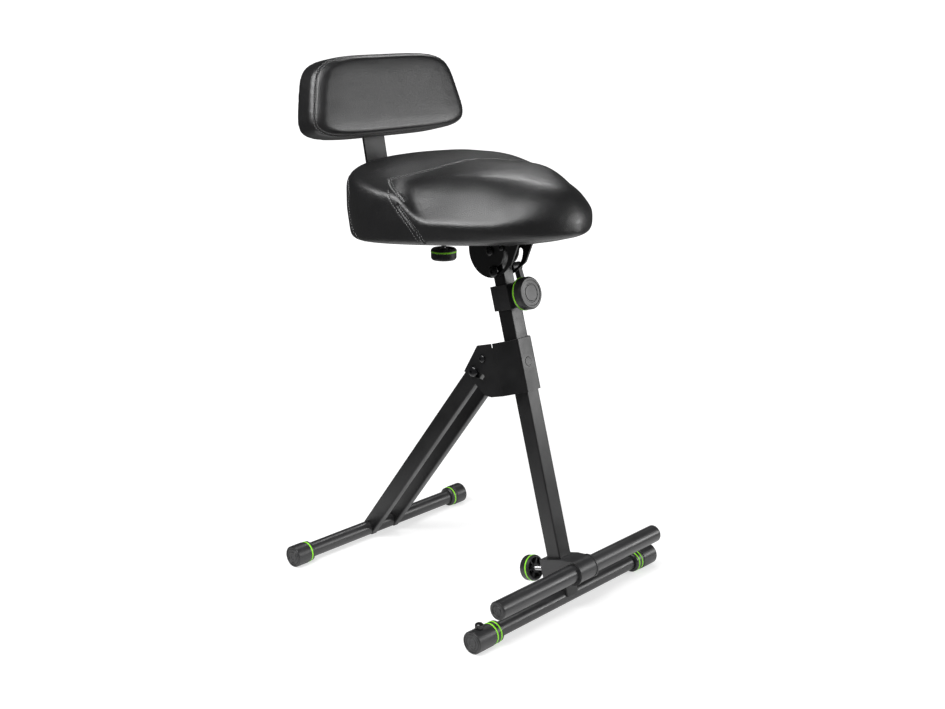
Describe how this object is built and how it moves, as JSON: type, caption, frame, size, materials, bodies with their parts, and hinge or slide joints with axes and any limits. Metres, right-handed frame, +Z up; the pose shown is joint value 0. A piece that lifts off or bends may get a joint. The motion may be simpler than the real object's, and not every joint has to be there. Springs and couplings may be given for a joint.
{
  "type": "sit-stand stool",
  "caption": "Folding sit-stand stool with a padded saddle seat, a padded backrest, a sliding footrest bar, clamping knobs and capped foot bars.",
  "frame": {"origin": "on the floor, under the middle of the stool's box", "axes": "+Z up, the sitter faces -Y, the sitter's right is -X"},
  "size_m": [0.4774, 0.5405, 0.908],
  "materials": {
    "steel": "satin",
    "plastic": "satin",
    "rubber": "matte",
    "bolt": "gloss",
    "green": "satin",
    "leatherette": "satin",
    "board": "matte"
  },
  "bodies": {
    "frame": {"clamp_boss": "plastic", "front_cap_left": "plastic", "front_cap_right": "plastic", "front_foot_bar": "steel", "front_ring_left_1": "green", "front_ring_left_2": "green", "front_ring_right_1": "green", "front_ring_right_2": "green", "hinge_bracket": "steel", "leg_hinge_bolt": "bolt", "leg_hinge_nut": "bolt", "lower_post": "steel", "post_collar": "plastic"},
    "rear_legs": {"leg_spacer": "steel", "leg_stop_bolt": "bolt", "leg_stop_nut": "bolt", "rear_cap_left": "plastic", "rear_cap_right": "plastic", "rear_foot_bar": "steel", "rear_leg_left": "steel", "rear_leg_right": "steel", "rear_ring_left": "green", "rear_ring_right": "green"},
    "upper_post": {"post_glide": "plastic", "tilt_clamp_bolt": "bolt", "tilt_pivot_bolt": "bolt", "tilt_pivot_nut": "bolt", "tilt_spacer_left": "plastic", "tilt_spacer_right": "plastic", "upper_post": "steel"},
    "tilt_lever": {"tilt_lever": "plastic"},
    "height_knob": {"height_knob": "plastic", "height_knob_ring": "green", "height_stud": "bolt"},
    "footrest": {"footrest_carrier": "plastic", "footrest_plug_left": "plastic", "footrest_plug_right": "plastic", "footrest_tube": "steel"},
    "footrest_knob": {"footrest_knob": "plastic", "footrest_knob_ring": "green", "footrest_stud": "bolt"},
    "seat": {"backrest_guide": "steel", "seat_board": "board", "seat_bracket": "steel", "seat_cushion": "leatherette", "seat_screw_back_left": "bolt", "seat_screw_back_right": "bolt", "seat_screw_front_left": "bolt", "seat_screw_front_right": "bolt", "seat_tie_bolt": "bolt"},
    "backrest": {"backrest_bar": "steel", "backrest_board": "board", "backrest_bolt_lower": "bolt", "backrest_bolt_upper": "bolt", "backrest_cushion": "leatherette"},
    "backrest_knob": {"backrest_knob": "plastic", "backrest_knob_ring": "green", "backrest_stud": "bolt"},
    "levelling_screw": {"levelling_screw": "bolt"},
    "levelling_pad": {"levelling_pad": "rubber"}
  },
  "joints": [
    {"name": "leg_fold", "type": "hinge", "parent": "frame", "child": "rear_legs", "pos_m": [0, -0.06034, 0.41565], "axis": [-1, 0, 0], "range_deg": [0, 38]},
    {"name": "seat_height", "type": "slide", "parent": "frame", "child": "upper_post", "axis": [0, 0.2689, 0.9632], "range_m": [0, 0.2]},
    {"name": "height_knob_turn", "type": "hinge", "parent": "frame", "child": "height_knob", "pos_m": [0, -0.11194, 0.52796], "axis": [0, -0.9632, 0.2689], "range_deg": [0, 540]},
    {"name": "footrest_height", "type": "slide", "parent": "frame", "child": "footrest", "axis": [0, 0.2689, 0.9632], "range_m": [0, 0.2]},
    {"name": "footrest_knob_turn", "type": "hinge", "parent": "footrest", "child": "footrest_knob", "pos_m": [0, -0.15111, 0.04667], "axis": [0, 0.9632, -0.2689], "range_deg": [0, 540]},
    {"name": "seat_tilt", "type": "hinge", "parent": "upper_post", "child": "seat", "pos_m": [0, -0.05908, 0.59679], "axis": [1, 0, 0], "range_deg": [0, 36]},
    {"name": "tilt_lever_swing", "type": "hinge", "parent": "upper_post", "child": "tilt_lever", "pos_m": [0.0205, -0.06836, 0.56356], "axis": [1, 0, 0], "range_deg": [0, 100]},
    {"name": "backrest_depth", "type": "slide", "parent": "seat", "child": "backrest", "axis": [0, 1, 0], "range_m": [-0.02, 0.05]},
    {"name": "backrest_knob_turn", "type": "hinge", "parent": "seat", "child": "backrest_knob", "pos_m": [0, 0.06862, 0.58244], "axis": [0, 0, -1], "range_deg": [0, 540]},
    {"name": "levelling_screw_turn", "type": "hinge", "parent": "frame", "child": "levelling_screw", "pos_m": [-0.2207, -0.22052, 0], "axis": [0, 0, -1], "range_deg": [0, 720]},
    {"name": "levelling_pad_travel", "type": "slide", "parent": "frame", "child": "levelling_pad", "axis": [0, 0, -1], "range_m": [0, 0.0045]}
  ],
  "couplings": [
    {"joint": "levelling_pad_travel", "follows": "levelling_screw_turn", "m_per_rad": 0.00023873}
  ]
}
